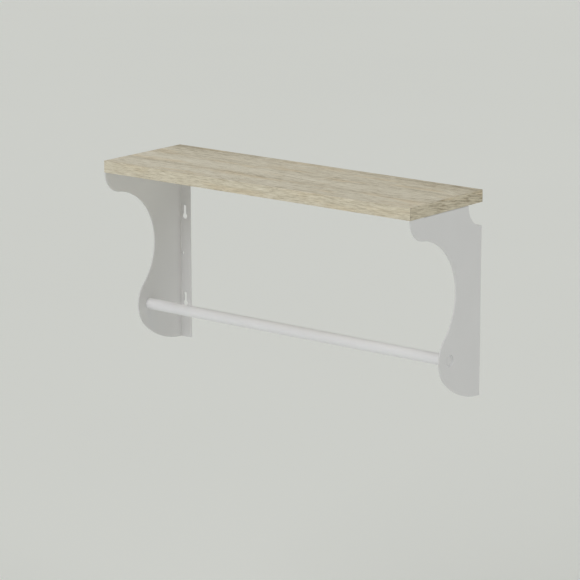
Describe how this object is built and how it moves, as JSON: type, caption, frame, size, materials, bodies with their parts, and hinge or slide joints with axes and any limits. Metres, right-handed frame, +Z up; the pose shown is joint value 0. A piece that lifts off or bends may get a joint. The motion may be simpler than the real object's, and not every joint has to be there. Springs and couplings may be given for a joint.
{
  "type": "wall shelf",
  "caption": "Narrow wood-decor wall shelf on two white folded sheet-steel brackets with a hanging rail between them; hangs on keyhole slots.",
  "frame": {"origin": "on the wall plane, half way along the shelf, level with the closed ends of the two upper keyhole slots, where the upper wall screws sit", "axes": "+X along the wall to the right as seen from the room, +Y into the wall, +Z up"},
  "size_m": [0.6, 0.183, 0.319],
  "materials": {
    "oak_decor": "matt pale washed-oak decor with fine grain along the shelf",
    "oak_edge_band": "matt pale washed-oak edge band with fine pores",
    "white_powder_coat": "satin white powder coat on steel",
    "white_plastic": "satin white moulded plastic",
    "zinc_plated_steel": "bright zinc plating"
  },
  "bodies": {
    "root": {"shelf_board_core": "oak_decor", "edge_band_front": "oak_edge_band", "edge_band_back": "oak_edge_band", "edge_band_left": "oak_edge_band", "edge_band_right": "oak_edge_band", "bracket_left": "white_powder_coat", "bracket_right": "white_powder_coat", "rail_tube": "white_powder_coat", "rail_plug_left": "white_plastic", "rail_plug_right": "white_plastic", "board_screw_left_back": "zinc_plated_steel", "board_screw_left_front": "zinc_plated_steel", "board_screw_right_back": "zinc_plated_steel", "board_screw_right_front": "zinc_plated_steel"}
  },
  "joints": []
}
